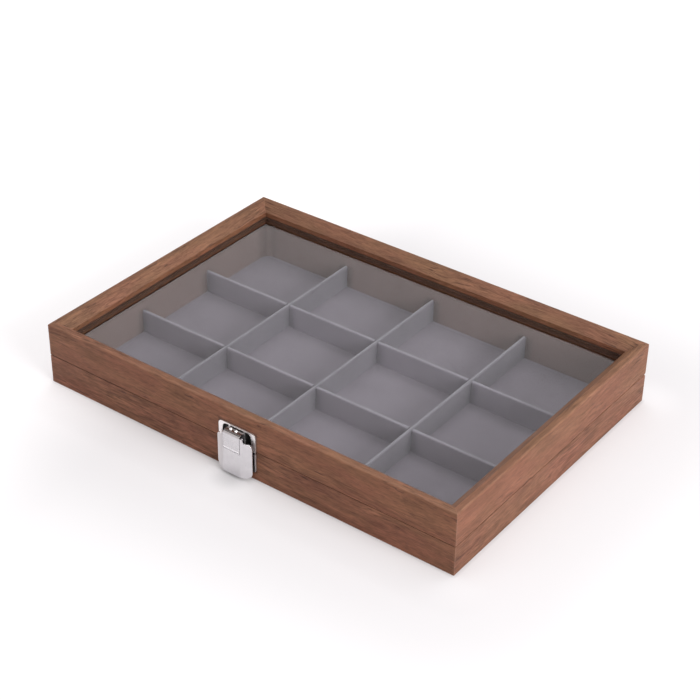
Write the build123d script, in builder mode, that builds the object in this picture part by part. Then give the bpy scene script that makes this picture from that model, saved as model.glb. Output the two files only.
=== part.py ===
"""Shallow wooden display box with a hinged glass lid, twelve soft-lined compartments and a draw latch.

Millimetres. The origin is the middle of the underside, +X runs to the right along the front,
+Y from the front to the hinges at the rear, and +Z up. The latch is at the middle of the front.
"""

import os
from math import radians, tan

from build123d import *

# Overall size of the wooden case.
length = 355.0
width = 245.0
base_height = 23.4
seam_gap = 0.4
lid_height = 26.2

# Base: rails, bottom panel and soft lining.
base_wall = 11.0
panel_thickness = 3.0
panel_rebate = 4.0
panel_clearance = 0.2
pad_thickness = 1.5
lining_thickness = 2.0
lining_rise = 8.0
columns = 4
rows = 3
divider_thickness = 2.8
divider_height = 18.7
divider_clearance = 0.2
foot_easing = 0.6

# Lid: a flat crown, a bevel down to the sight edge, and the glass in a rebate below it.
crown_width = 5.0
sight_inset = 12.0
bevel_drop = 5.8
lip_thickness = 4.2
lid_wall = 9.0
glass_thickness = 3.0
glass_clearance = 0.4
strip_height = 3.0
crown_easing = 1.2
seam_easing = 0.3

# Rear hinges: two butt hinges let into the rims, with the barrel half proud of the rear.
hinge_end_inset = 67.5
leaf_length = 30.0
leaf_reach = 8.0
leaf_thickness = 1.0
leaf_clearance = 0.1
barrel_radius = 2.2
barrel_inset = 1.2
barrel_clearance = 0.3
hinge_pin_radius = 1.0
knuckle_gap = 0.1
hinge_screw_spacing = 18.0
hinge_screw_radius = 0.9
hinge_screw_head_radius = 1.6
hinge_screw_length = 7.0
lid_open_angle = 100.0
lid_stop_spare = 3.0

# Clearances that every pin and fastener shares.
fixed_pin_clearance = 0.02
turning_pin_clearance = 0.05

# Latch plates on the front of the case. A rise or drop is measured from the lower edge of the lid.
plate_thickness = 1.0
plate_width = 32.0
plate_corner = 2.5
base_plate_bottom = 6.4
plate_gap = 1.0
strike_drop = 0.6
strike_height = 14.8
strike_corner = 3.0
base_fixing_spacing = 23.0
strike_fixing_spacing = 7.0
fixing_radius = 0.6
fixing_head_radius = 1.5
fixing_head_height = 0.6
fixing_head_taper = 20.0
fixing_length = 6.0
base_fixing_drop = 8.8
strike_fixing_rise = 5.4

# Latch lever: a pressed cover with a flat front, sloping flanks and two inner cheeks.
lever_wall = 0.8
lever_front_width = 14.8
lever_width = 30.4
lever_projection = 7.0
flank_depth = 3.5
rim_depth = 0.6
lever_bottom = 2.2
shoulder_rise = 7.2
horn_rise = 10.7
lever_bottom_corner = 5.0
lever_shoulder_corner = 4.0
horn_foot_width = 1.8
horn_tip_width = 0.9
cheek_boss_radius = 1.3

# Lever pivot on the arms of the base plate, and claw pivot on the cheeks.
lever_pivot_out = 4.0
lever_pivot_rise = 5.2
claw_pivot_out = 5.4
claw_pivot_drop = 1.1
latch_pin_radius = 0.6
arm_thickness = 0.8
arm_gap = 0.2
arm_tip_radius = 1.1
arm_root_drop = 12.8
arm_root_depth = 1.5
arm_strike_gap = 0.5

# Claw: a flat strap that fills the lever's slot and rolls back over the ledge of the strike.
claw_width = 14.0
claw_thickness = 1.0
claw_side_gap = 0.4
claw_eye_radius = 1.6
claw_eye_gap = 0.3
claw_rise = 12.5
claw_roll_radius = 2.0
claw_tip_out = 1.8
ledge_width = 11.6
ledge_reach = 2.5
ledge_thickness = 0.8
ledge_gap = 0.3
window_height = 2.0
side_window_gap = 1.2
side_window_width = 5.4
side_window_bottom = 2.4
side_window_corner = 3.5

# How far a cut runs past the material that it goes through.
cut_margin = 1.0

# Places that follow from the sizes above.
half_length = length / 2
half_width = width / 2
lid_bottom = base_height + seam_gap
height = lid_bottom + lid_height
sight_height = height - bevel_drop
glass_top = sight_height - lip_thickness
glass_bottom = glass_top - glass_thickness
inner_inset = base_wall + lining_thickness
floor_height = panel_thickness + pad_thickness
lining_top = base_height + lining_rise
divider_top = floor_height + divider_height
axis_y = half_width - barrel_inset
axis_z = base_height + seam_gap / 2
recess_radius = barrel_radius + barrel_clearance
stop_slope = tan(radians((lid_open_angle + lid_stop_spare) / 2))
front_y = -half_width
plate_front = front_y - plate_thickness
lever_front = front_y - lever_projection
strike_bottom = lid_bottom - strike_drop
base_plate_top = strike_bottom - plate_gap
strike_top = strike_bottom + strike_height
base_fixings = [(side * base_fixing_spacing / 2, lid_bottom - base_fixing_drop) for side in (-1, 1)]
strike_fixings = [(side * strike_fixing_spacing / 2, lid_bottom + strike_fixing_rise) for side in (-1, 1)]
lever_shoulder = lid_bottom + shoulder_rise
lever_horn = lid_bottom + horn_rise
lever_pivot_height = lid_bottom + lever_pivot_rise
claw_pivot_height = lid_bottom - claw_pivot_drop
claw_top = lid_bottom + claw_rise
arm_root_height = lid_bottom - arm_root_drop
lever_pivot_y = front_y - lever_pivot_out
claw_pivot_y = front_y - claw_pivot_out
cheek_inner_x = claw_width / 2 + claw_side_gap
cheek_outer_x = cheek_inner_x + lever_wall
arm_inner_x = cheek_outer_x + arm_gap
arm_outer_x = arm_inner_x + arm_thickness
slot_bottom = claw_pivot_height - claw_eye_radius - claw_eye_gap
ledge_top = claw_top - claw_thickness - ledge_gap

# Each side of the case: the middle of its outer face, its inward direction and half its length.
sides = {
    "front": ((0, -half_width, 0), (0, 1, 0), half_length),
    "rear": ((0, half_width, 0), (0, -1, 0), half_length),
    "left": ((-half_length, 0, 0), (1, 0, 0), half_width),
    "right": ((half_length, 0, 0), (-1, 0, 0), half_width),
}

os.makedirs("parts", exist_ok=True)


def save(part, name):
    part.label = name
    export_step(part, f"parts/{name}.step")


def section_plane(side):
    """Upright plane across a side: local x is the inset from the outer face, local y is the height."""
    origin, inward, _ = sides[side]
    return Plane(origin=origin, x_dir=inward, z_dir=Vector(*inward).cross(Vector(0, 0, 1)))


def cut_mitres(side):
    """Keeps what lies between the two 45-degree mitre planes of a side."""
    origin, inward, half_run = sides[side]
    depth = inner_inset + sight_inset
    with BuildSketch(Plane(origin=origin, x_dir=inward, z_dir=(0, 0, 1))) as plan:
        with BuildLine():
            Polyline(
                (0, -half_run),
                (0, half_run),
                (depth, half_run - depth),
                (depth, depth - half_run),
                close=True,
            )
        make_face()
    extrude(plan.sketch, amount=height, mode=Mode.INTERSECT)


def mitred_strip(side, outline, eased=()):
    """A strip of one section along a side, mitred at both ends. eased holds (corner, radius) pairs."""
    with BuildPart() as strip:
        with BuildSketch(section_plane(side)) as section:
            with BuildLine():
                Polyline(*outline, close=True)
            make_face()
            for corner, radius in eased:
                fillet(section.vertices().sort_by_distance(corner)[0], radius)
        extrude(amount=sides[side][2], both=True)
        cut_mitres(side)
    return strip.part


def prism_x(outline, start, end, mode=Mode.ADD):
    """Extrudes a (y, z) outline from x = start to x = end."""
    with BuildSketch(Plane.YZ.offset(start)) as profile:
        with BuildLine():
            Polyline(*outline, close=True)
        make_face()
    extrude(profile.sketch, amount=end - start, mode=mode)


def disc_x(centre, radius, start, end, mode=Mode.ADD):
    """Extrudes a circle about a (y, z) centre from x = start to x = end."""
    with BuildSketch(Plane.YZ.offset(start)) as profile:
        with Locations(centre):
            Circle(radius)
    extrude(profile.sketch, amount=end - start, mode=mode)


def block(low, high, mode=Mode.ADD):
    """An upright box between two opposite corners."""
    with Locations(low):
        Box(*(b - a for a, b in zip(low, high)), align=(Align.MIN, Align.MIN, Align.MIN), mode=mode)


# Wooden rails of the base. The rebate under each inner edge takes the bottom panel.
base_section = [
    (0, 0),
    (0, base_height),
    (base_wall, base_height),
    (base_wall, panel_thickness),
    (base_wall - panel_rebate, panel_thickness),
    (base_wall - panel_rebate, 0),
]
base_eased = [((0, 0), foot_easing), ((0, base_height), seam_easing)]

# Wooden rails of the lid, with the rebate for the glass open towards the inside.
lid_section = [
    (0, lid_bottom),
    (0, height),
    (crown_width, height),
    (sight_inset, sight_height),
    (sight_inset, glass_top),
    (lid_wall, glass_top),
    (lid_wall, lid_bottom),
]
lid_eased = [((0, height), crown_easing), ((0, lid_bottom), seam_easing)]

# Hinge layout, shared by the leaves and by the mortises in the rear rails.
leaf_inner_y = half_width - leaf_reach
leaf_flat_y = axis_y - recess_radius
screw_y = (leaf_inner_y + leaf_flat_y) / 2
knuckle_length = (leaf_length - 2 * knuckle_gap) / 3
hinge_x = half_length - hinge_end_inset
hinge_centres = {"left": -hinge_x, "right": hinge_x}


def hinge_screws(centre, rim, upward, clearance, mode=Mode.ADD):
    """Two countersunk screws whose heads are flush with the rim. The holes are the same with a clearance."""
    align = (Align.CENTER, Align.CENTER, Align.MIN if upward else Align.MAX)
    wide = hinge_screw_head_radius + clearance
    narrow = hinge_screw_radius + clearance
    ends = (wide, narrow) if upward else (narrow, wide)
    for offset in (-hinge_screw_spacing / 2, hinge_screw_spacing / 2):
        with Locations((centre + offset, screw_y, rim)):
            Cone(*ends, wide - narrow, align=align, mode=mode)
            Cylinder(narrow, hinge_screw_length, align=align, mode=mode)


def hinge_mortise(centre, rim, upward):
    """Cuts the pocket of a leaf, the trough of the barrel and the screw holes into a rear rail."""
    half_leaf = leaf_length / 2 + leaf_clearance
    pocket = sorted((rim, rim + leaf_thickness if upward else rim - leaf_thickness))
    block(
        (centre - half_leaf, leaf_inner_y, pocket[0]),
        (centre + half_leaf, axis_y, pocket[1]),
        mode=Mode.SUBTRACT,
    )
    disc_x((axis_y, axis_z), recess_radius, centre - half_leaf, centre + half_leaf, mode=Mode.SUBTRACT)
    hinge_screws(centre, rim, upward, fixed_pin_clearance, mode=Mode.SUBTRACT)


def stop_chamfer(upward):
    """Cuts the rear edge of a rim back from the hinge axis, so that the rims meet when the lid is open."""
    away = 1 if upward else -1
    reach = barrel_inset + cut_margin
    prism_x(
        [
            (axis_y, axis_z),
            (axis_y + reach, axis_z),
            (axis_y + reach, axis_z + away * reach * stop_slope),
        ],
        -half_length,
        half_length,
        mode=Mode.SUBTRACT,
    )


def latch_pins(places):
    """Headed pins through a latch plate into the front rail, at (x, z) places."""
    with BuildSketch(Plane.XZ.offset(-plate_front)) as shanks:
        with Locations(*places):
            Circle(fixing_radius)
    extrude(shanks.sketch, amount=-fixing_length)
    with BuildSketch(Plane.XZ.offset(-plate_front)) as heads:
        with Locations(*places):
            Circle(fixing_head_radius)
    extrude(heads.sketch, amount=fixing_head_height, taper=fixing_head_taper)


def latch_pin_holes(places):
    """Cuts the holes that the pins of a latch plate are driven through."""
    with BuildSketch(Plane.XZ.offset(-plate_front)) as holes:
        with Locations(*places):
            Circle(fixing_radius + fixed_pin_clearance)
    extrude(holes.sketch, amount=-fixing_length, mode=Mode.SUBTRACT)


for side in sides:
    with BuildPart() as base_rail:
        add(mitred_strip(side, base_section, base_eased))
        if side != "front":
            stop_chamfer(upward=False)
        if side == "rear":
            for centre in hinge_centres.values():
                hinge_mortise(centre, base_height, upward=False)
        if side == "front":
            latch_pin_holes(base_fixings)
    save(base_rail.part, f"base_{side}_rail")

for side in sides:
    with BuildPart() as lid_rail:
        add(mitred_strip(side, lid_section, lid_eased))
        if side != "front":
            stop_chamfer(upward=True)
        if side == "rear":
            for centre in hinge_centres.values():
                hinge_mortise(centre, lid_bottom, upward=True)
        if side == "front":
            latch_pin_holes(strike_fixings)
    save(lid_rail.part, f"lid_{side}_rail")

# Bottom panel, let in flush with the underside of the rails.
panel_inset = base_wall - panel_rebate + panel_clearance
with BuildPart() as base_bottom_panel:
    block(
        (panel_inset - half_length, panel_inset - half_width, 0),
        (half_length - panel_inset, half_width - panel_inset, panel_thickness),
    )
save(base_bottom_panel.part, "base_bottom_panel")

# Soft lining: a pad on the bottom panel, and four walls that stand proud of the rim inside the lid.
with BuildPart() as floor_pad:
    block(
        (inner_inset - half_length, inner_inset - half_width, panel_thickness),
        (half_length - inner_inset, half_width - inner_inset, floor_height),
    )
save(floor_pad.part, "floor_pad")

lining_section = [
    (base_wall, panel_thickness),
    (base_wall, lining_top),
    (inner_inset, lining_top),
    (inner_inset, panel_thickness),
]
for side in sides:
    with BuildPart() as wall_lining:
        add(mitred_strip(side, lining_section))
    save(wall_lining.part, f"{side}_wall_lining")

# Dividers on a regular grid, halved into each other where they cross.
clear_length = length - 2 * inner_inset
clear_width = width - 2 * inner_inset
bay_length = (clear_length - (columns - 1) * divider_thickness) / columns
bay_width = (clear_width - (rows - 1) * divider_thickness) / rows
cross_places = [
    (column + 1) * bay_length + (column + 0.5) * divider_thickness - clear_length / 2
    for column in range(columns - 1)
]
long_places = [
    (row + 1) * bay_width + (row + 0.5) * divider_thickness - clear_width / 2 for row in range(rows - 1)
]
halving_height = floor_height + divider_height / 2
half_divider = divider_thickness / 2
half_notch = half_divider + divider_clearance

for number, place in enumerate(long_places, start=1):
    half_run = clear_length / 2 - divider_clearance
    with BuildPart() as long_divider:
        block((-half_run, place - half_divider, floor_height), (half_run, place + half_divider, divider_top))
        for crossing in cross_places:
            block(
                (crossing - half_notch, place - half_notch, halving_height),
                (crossing + half_notch, place + half_notch, divider_top + cut_margin),
                mode=Mode.SUBTRACT,
            )
    save(long_divider.part, f"long_divider_{number}")

for number, place in enumerate(cross_places, start=1):
    half_run = clear_width / 2 - divider_clearance
    with BuildPart() as cross_divider:
        block((place - half_divider, -half_run, floor_height), (place + half_divider, half_run, divider_top))
        for crossing in long_places:
            block(
                (place - half_notch, crossing - half_notch, floor_height - cut_margin),
                (place + half_notch, crossing + half_notch, halving_height),
                mode=Mode.SUBTRACT,
            )
    save(cross_divider.part, f"cross_divider_{number}")

# Glass pane under the lip of the lid, held up by four strips.
glass_inset = lid_wall + glass_clearance
with BuildPart() as glass_pane:
    block(
        (glass_inset - half_length, glass_inset - half_width, glass_bottom),
        (half_length - glass_inset, half_width - glass_inset, glass_top),
    )
save(glass_pane.part, "glass_pane")

strip_section = [
    (lid_wall, glass_bottom - strip_height),
    (lid_wall, glass_bottom),
    (sight_inset, glass_bottom),
    (sight_inset, glass_bottom - strip_height),
]
for side in sides:
    with BuildPart() as glazing_strip:
        add(mitred_strip(side, strip_section))
    save(glazing_strip.part, f"{side}_glazing_strip")


def leaf_plate(start, end, rim, upward, reach_y):
    """A stretch of leaf let in flush with a rim, from its inner edge to reach_y."""
    far_face = rim + leaf_thickness if upward else rim - leaf_thickness
    low, high = sorted((rim, far_face))
    block((start, leaf_inner_y, low), (end, reach_y, high))


# Hinges: the base leaf carries the two outer knuckles and the lid leaf the middle one.
for hand, centre in hinge_centres.items():
    start = centre - leaf_length / 2
    end = centre + leaf_length / 2
    axis = (axis_y, axis_z)

    with BuildPart() as base_leaf:
        leaf_plate(start, end, base_height, False, leaf_flat_y)
        for low, high in ((start, start + knuckle_length), (end - knuckle_length, end)):
            leaf_plate(low, high, base_height, False, axis_y)
            disc_x(axis, barrel_radius, low, high)
        disc_x(axis, hinge_pin_radius + fixed_pin_clearance, start, end, mode=Mode.SUBTRACT)
        hinge_screws(centre, base_height, False, fixed_pin_clearance, mode=Mode.SUBTRACT)
    save(base_leaf.part, f"{hand}_hinge_base_leaf")

    with BuildPart() as lid_leaf:
        middle = (centre - knuckle_length / 2, centre + knuckle_length / 2)
        leaf_plate(start, end, lid_bottom, True, leaf_flat_y)
        leaf_plate(*middle, lid_bottom, True, axis_y)
        disc_x(axis, barrel_radius, *middle)
        disc_x(axis, hinge_pin_radius + turning_pin_clearance, *middle, mode=Mode.SUBTRACT)
        hinge_screws(centre, lid_bottom, True, fixed_pin_clearance, mode=Mode.SUBTRACT)
    save(lid_leaf.part, f"{hand}_hinge_lid_leaf")

    with BuildPart() as hinge_pin:
        disc_x(axis, hinge_pin_radius, start, end)
    save(hinge_pin.part, f"{hand}_hinge_pin")

with BuildPart() as hinge_base_screws:
    for centre in hinge_centres.values():
        hinge_screws(centre, base_height, False, 0)
save(hinge_base_screws.part, "hinge_base_screws")

with BuildPart() as hinge_lid_screws:
    for centre in hinge_centres.values():
        hinge_screws(centre, lid_bottom, True, 0)
save(hinge_lid_screws.part, "hinge_lid_screws")


def front_plate(bottom, top, corner_height, corner_radius):
    """A flat plate on the front of the case, with the two corners at corner_height rounded."""
    with BuildSketch(Plane.XZ.offset(-front_y)) as outline:
        with Locations((0, (bottom + top) / 2)):
            Rectangle(plate_width, top - bottom)
        rounded = [corner for corner in outline.vertices() if abs(corner.Y - corner_height) < plate_corner]
        fillet(rounded, corner_radius)
    extrude(outline.sketch, amount=plate_thickness)


# Base plate of the latch, with two arms that carry the lever's pivot in front of the lid.
arm_outline = [
    (plate_front, arm_root_height),
    (plate_front, base_plate_top - arm_strike_gap),
    (plate_front - arm_strike_gap, base_plate_top),
    (lever_pivot_y + arm_tip_radius, lever_pivot_height),
    (lever_pivot_y - arm_tip_radius, lever_pivot_height),
    (plate_front - arm_root_depth, arm_root_height),
]
arm_spans = ((-arm_outer_x, -arm_inner_x), (arm_inner_x, arm_outer_x))
lever_pivot = (lever_pivot_y, lever_pivot_height)
claw_pivot = (claw_pivot_y, claw_pivot_height)

with BuildPart() as latch_base_plate:
    front_plate(base_plate_bottom, base_plate_top, base_plate_bottom, plate_corner)
    for span in arm_spans:
        prism_x(arm_outline, *span)
        disc_x(lever_pivot, arm_tip_radius, *span)
    disc_x(
        lever_pivot,
        latch_pin_radius + fixed_pin_clearance,
        -arm_outer_x,
        arm_outer_x,
        mode=Mode.SUBTRACT,
    )
    latch_pin_holes(base_fixings)
save(latch_base_plate.part, "latch_base_plate")

with BuildPart() as latch_base_pins:
    latch_pins(base_fixings)
save(latch_base_pins.part, "latch_base_pins")

with BuildPart() as latch_lever_pin:
    disc_x(lever_pivot, latch_pin_radius, -arm_outer_x, arm_outer_x)
save(latch_lever_pin.part, "latch_lever_pin")

# Strike plate on the lid. A ledge is bent forward from its window, and the claw bears on that.
window_top = ledge_top + window_height
side_window_x = ledge_width / 2 + side_window_gap
with BuildPart() as latch_strike_plate:
    front_plate(strike_bottom, strike_top, strike_top, strike_corner)
    with BuildSketch(Plane.XZ.offset(-front_y)) as side_window:
        with BuildLine():
            Polyline(
                (side_window_x, strike_bottom + side_window_bottom),
                (side_window_x, window_top),
                (side_window_x + side_window_width, window_top),
                (side_window_x + side_window_width, strike_bottom + side_window_bottom),
                close=True,
            )
        make_face()
        outer_top = (side_window_x + side_window_width, window_top)
        fillet(side_window.vertices().sort_by_distance(outer_top)[0], side_window_corner)
        mirror(about=Plane.YZ)
    extrude(amount=plate_thickness, mode=Mode.SUBTRACT)
    block(
        (-ledge_width / 2, plate_front - cut_margin, ledge_top),
        (ledge_width / 2, front_y + cut_margin, window_top),
        mode=Mode.SUBTRACT,
    )
    block(
        (-ledge_width / 2, plate_front - ledge_reach, ledge_top - ledge_thickness),
        (ledge_width / 2, plate_front, ledge_top),
    )
    latch_pin_holes(strike_fixings)
save(latch_strike_plate.part, "latch_strike_plate")

with BuildPart() as latch_strike_pins:
    latch_pins(strike_fixings)
save(latch_strike_pins.part, "latch_strike_pins")

# Lever: a pressed cover, hollow behind, whose front is cut away above slot_bottom for the claw.
flank_edge_y = lever_front + flank_depth
lever_back_y = flank_edge_y + rim_depth
half_front = lever_front_width / 2
half_lever = lever_width / 2


def lever_section(back_y):
    """Plan of the cover: a flat front between two sloping flanks."""
    with BuildLine() as plan:
        Polyline(
            (-half_lever, back_y),
            (-half_lever, flank_edge_y),
            (-half_front, lever_front),
            (half_front, lever_front),
            (half_lever, flank_edge_y),
            (half_lever, back_y),
            close=True,
        )
    make_face(plan.edges())


def lever_outline(inset, top):
    """Keeps what lies within the front view of the cover, up to a flat top and inset all round."""
    side_x = half_lever - inset
    bottom = lever_bottom + inset
    corner = lever_bottom_corner - inset
    with BuildSketch(Plane.XZ.offset(-lever_back_y - cut_margin)) as outline:
        with Locations((0, (bottom + top) / 2)):
            Rectangle(2 * side_x, top - bottom)
        with Locations((-side_x, bottom), (side_x, bottom)):
            Rectangle(2 * corner, 2 * corner, mode=Mode.SUBTRACT)
        with Locations((-side_x + corner, bottom + corner), (side_x - corner, bottom + corner)):
            Circle(corner)
    extrude(outline.sketch, amount=lever_projection + 2 * cut_margin, mode=Mode.INTERSECT)


with BuildPart() as lever_hollow:
    with BuildSketch(Plane.XY.offset(lever_bottom)):
        lever_section(lever_back_y + lever_projection)
        offset(amount=-lever_wall, kind=Kind.INTERSECTION)
    extrude(amount=lever_horn)
    lever_outline(lever_wall, lever_horn + cut_margin)

with BuildPart() as lever_shoulders:
    with BuildSketch(Plane.XZ.offset(-lever_back_y)):
        with BuildLine():
            Polyline(
                (half_lever - lever_shoulder_corner, lever_shoulder),
                (cheek_inner_x + horn_foot_width, lever_shoulder),
                (cheek_inner_x + horn_tip_width, lever_horn + cut_margin),
                (half_lever + cut_margin, lever_horn + cut_margin),
                (half_lever + cut_margin, lever_shoulder - lever_shoulder_corner),
                (half_lever, lever_shoulder - lever_shoulder_corner),
            )
            CenterArc(
                (half_lever - lever_shoulder_corner, lever_shoulder - lever_shoulder_corner),
                lever_shoulder_corner,
                0,
                90,
            )
        make_face()
    extrude(amount=lever_projection)
    mirror(about=Plane.YZ)

# The slot's lower edge turns in under the claw as a lip, which joins the two cheeks.
slot_lip_y = claw_pivot_y + cheek_boss_radius
cheek_outline = [
    (lever_front + lever_wall / 2, slot_bottom - lever_wall),
    (slot_lip_y, slot_bottom - lever_wall),
    (slot_lip_y, claw_pivot_height),
    (lever_pivot_y + cheek_boss_radius, lever_pivot_height - cheek_boss_radius),
    (lever_pivot_y + cheek_boss_radius, lever_pivot_height + cheek_boss_radius),
    (lever_front + lever_wall + cheek_boss_radius, lever_horn - cheek_boss_radius),
    (lever_front + lever_wall / 2, lever_horn - cheek_boss_radius),
]
with BuildPart() as latch_lever:
    with BuildSketch(Plane.XY.offset(lever_bottom)):
        lever_section(lever_back_y)
    extrude(amount=lever_horn - lever_bottom)
    lever_outline(0, lever_horn)
    add(lever_hollow.part, mode=Mode.SUBTRACT)
    add(lever_shoulders.part, mode=Mode.SUBTRACT)
    for span in ((-cheek_outer_x, -cheek_inner_x), (cheek_inner_x, cheek_outer_x)):
        prism_x(cheek_outline, *span)
    block(
        (-cheek_outer_x, lever_front + lever_wall / 2, slot_bottom - lever_wall),
        (cheek_outer_x, slot_lip_y, slot_bottom),
    )
    block(
        (-cheek_inner_x, lever_front - cut_margin, slot_bottom),
        (cheek_inner_x, lever_back_y + cut_margin, lever_horn + cut_margin),
        mode=Mode.SUBTRACT,
    )
    for pivot, clearance in ((lever_pivot, turning_pin_clearance), (claw_pivot, fixed_pin_clearance)):
        disc_x(pivot, latch_pin_radius + clearance, -cheek_outer_x, cheek_outer_x, mode=Mode.SUBTRACT)
save(latch_lever.part, "latch_lever")

with BuildPart() as latch_claw_pin:
    disc_x(claw_pivot, latch_pin_radius, -cheek_outer_x, cheek_outer_x)
save(latch_claw_pin.part, "latch_claw_pin")

# Claw: flush with the front of the lever, rolled back at the top and curled round its pin at the bottom.
roll_y = lever_front + claw_roll_radius
roll_z = claw_top - claw_roll_radius
claw_tip_y = front_y - claw_tip_out
with BuildPart() as latch_claw:
    with BuildSketch(Plane.YZ.offset(-claw_width / 2)):
        with BuildLine():
            Line((lever_front, claw_pivot_height), (lever_front, roll_z))
            CenterArc((roll_y, roll_z), claw_roll_radius, 180, -90)
            Line((roll_y, claw_top), (claw_tip_y, claw_top))
            Line((claw_tip_y, claw_top), (claw_tip_y, claw_top - claw_thickness))
            Line((claw_tip_y, claw_top - claw_thickness), (roll_y, claw_top - claw_thickness))
            CenterArc((roll_y, roll_z), claw_roll_radius - claw_thickness, 90, 90)
            Line((lever_front + claw_thickness, roll_z), (lever_front + claw_thickness, claw_pivot_height))
            Line((lever_front + claw_thickness, claw_pivot_height), (lever_front, claw_pivot_height))
        make_face()
    extrude(amount=claw_width)
    disc_x(claw_pivot, claw_eye_radius, -claw_width / 2, claw_width / 2)
    disc_x(
        claw_pivot,
        latch_pin_radius + turning_pin_clearance,
        -claw_width / 2,
        claw_width / 2,
        mode=Mode.SUBTRACT,
    )
save(latch_claw.part, "latch_claw")
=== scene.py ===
import math

import bmesh
import bpy
from mathutils import Matrix, Vector, noise


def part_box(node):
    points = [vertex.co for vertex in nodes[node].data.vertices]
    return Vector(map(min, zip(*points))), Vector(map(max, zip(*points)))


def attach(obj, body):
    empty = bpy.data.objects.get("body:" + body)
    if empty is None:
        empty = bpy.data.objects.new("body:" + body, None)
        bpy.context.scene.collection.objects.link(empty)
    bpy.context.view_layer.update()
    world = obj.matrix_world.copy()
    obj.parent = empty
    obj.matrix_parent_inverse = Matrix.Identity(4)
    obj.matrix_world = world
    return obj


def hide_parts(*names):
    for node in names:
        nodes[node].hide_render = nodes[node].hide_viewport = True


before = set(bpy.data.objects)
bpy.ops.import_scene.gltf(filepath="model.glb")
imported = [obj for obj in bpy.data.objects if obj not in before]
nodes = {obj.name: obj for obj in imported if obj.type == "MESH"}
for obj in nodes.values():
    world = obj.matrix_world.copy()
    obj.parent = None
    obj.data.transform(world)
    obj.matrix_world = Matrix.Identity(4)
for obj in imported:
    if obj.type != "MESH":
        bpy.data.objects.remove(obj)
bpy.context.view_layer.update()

# Display box: wooden case with a glass lid, grey velvet inside and a plated draw latch.
# Metres. +X runs along the front, +Y from the latch to the hinges, +Z up.

scene = bpy.context.scene

# the case's own faces
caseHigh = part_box("base_rear_rail")[1]
halfLength, halfWidth = caseHigh.x, caseHigh.y
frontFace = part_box("base_front_rail")[0].y
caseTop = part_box("lid_front_rail")[1].z


# camera
cameraSetup = {
    "place": (0.620738, -0.838799, 0.726201),
    "azimuth": 36.382,
    "elevation": 33.483,
    "roll": 0.889,
    "focalPixels": 1735.684,
    "imagePixels": 700,
    "sensorWidth": 36,
    "clip": (0.05, 20),
}


def makeCamera(setup):
    azimuth, elevation = math.radians(setup["azimuth"]), math.radians(setup["elevation"])
    back = Vector((
        math.sin(azimuth) * math.cos(elevation),
        -math.cos(azimuth) * math.cos(elevation),
        math.sin(elevation),
    ))
    right = Vector((0, 0, 1)).cross(back).normalized()
    up = back.cross(right)
    turn = math.radians(setup["roll"])
    across = math.cos(turn) * right + math.sin(turn) * up
    upward = -math.sin(turn) * right + math.cos(turn) * up
    data = bpy.data.cameras.new("productCamera")
    data.sensor_width = setup["sensorWidth"]
    data.lens = setup["sensorWidth"] * setup["focalPixels"] / setup["imagePixels"]
    data.clip_start, data.clip_end = setup["clip"]
    camera = bpy.data.objects.new("productCamera", data)
    scene.collection.objects.link(camera)
    rows = [(across[i], upward[i], back[i]) for i in range(3)]
    camera.matrix_world = Matrix.Translation(setup["place"]) @ Matrix(rows).to_4x4()
    scene.camera = camera


makeCamera(cameraSetup)
print("camera is set")


# node helpers
def addNode(tree, kind, **settings):
    node = tree.nodes.new(kind)
    for name, value in settings.items():
        setattr(node, name, value)
    return node


def feed(tree, socket, source):
    # a source is another node's socket, or a plain value
    if isinstance(source, bpy.types.NodeSocket):
        tree.links.new(source, socket)
    else:
        socket.default_value = source


def feedAll(tree, node, sources):
    for name, source in sources.items():
        feed(tree, node.inputs[name], source)


def feedInOrder(tree, node, sources):
    for socket, source in zip(node.inputs, sources):
        feed(tree, socket, source)


def mathNode(tree, operation, *sources, clamp=False):
    node = addNode(tree, "ShaderNodeMath", operation=operation, use_clamp=clamp)
    feedInOrder(tree, node, sources)
    return node.outputs[0]


def vectorNode(tree, operation, *sources, output="Vector"):
    node = addNode(tree, "ShaderNodeVectorMath", operation=operation)
    feedInOrder(tree, node, sources)
    return node.outputs[output]


def scaleVector(tree, vector, scale):
    node = addNode(tree, "ShaderNodeVectorMath", operation="SCALE")
    feedAll(tree, node, {"Vector": vector, "Scale": scale})
    return node.outputs["Vector"]


def splitVector(tree, vector):
    node = addNode(tree, "ShaderNodeSeparateXYZ")
    feed(tree, node.inputs[0], vector)
    return node.outputs


def rangeNode(tree, value, fromLow, fromHigh, toLow=0.0, toHigh=1.0, kind="LINEAR"):
    node = addNode(tree, "ShaderNodeMapRange", interpolation_type=kind)
    feedInOrder(tree, node, (value, fromLow, fromHigh, toLow, toHigh))
    return node.outputs[0]


def smoothRange(tree, *sources):
    return rangeNode(tree, *sources, kind="SMOOTHSTEP")


def noiseNode(tree, vector, scale, detail=2.0, roughness=0.5):
    node = addNode(tree, "ShaderNodeTexNoise")
    feedAll(tree, node, {"Vector": vector, "Scale": scale, "Detail": detail, "Roughness": roughness})
    return node.outputs["Fac"]


def mixColour(tree, amount, first, second, blend="MIX"):
    node = addNode(tree, "ShaderNodeMix", data_type="RGBA", blend_type=blend)
    feed(tree, node.inputs["Factor"], amount)
    # a Mix node's colours are its seventh and eighth inputs and its third output
    feed(tree, node.inputs[6], first)
    feed(tree, node.inputs[7], second)
    return node.outputs[2]


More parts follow.
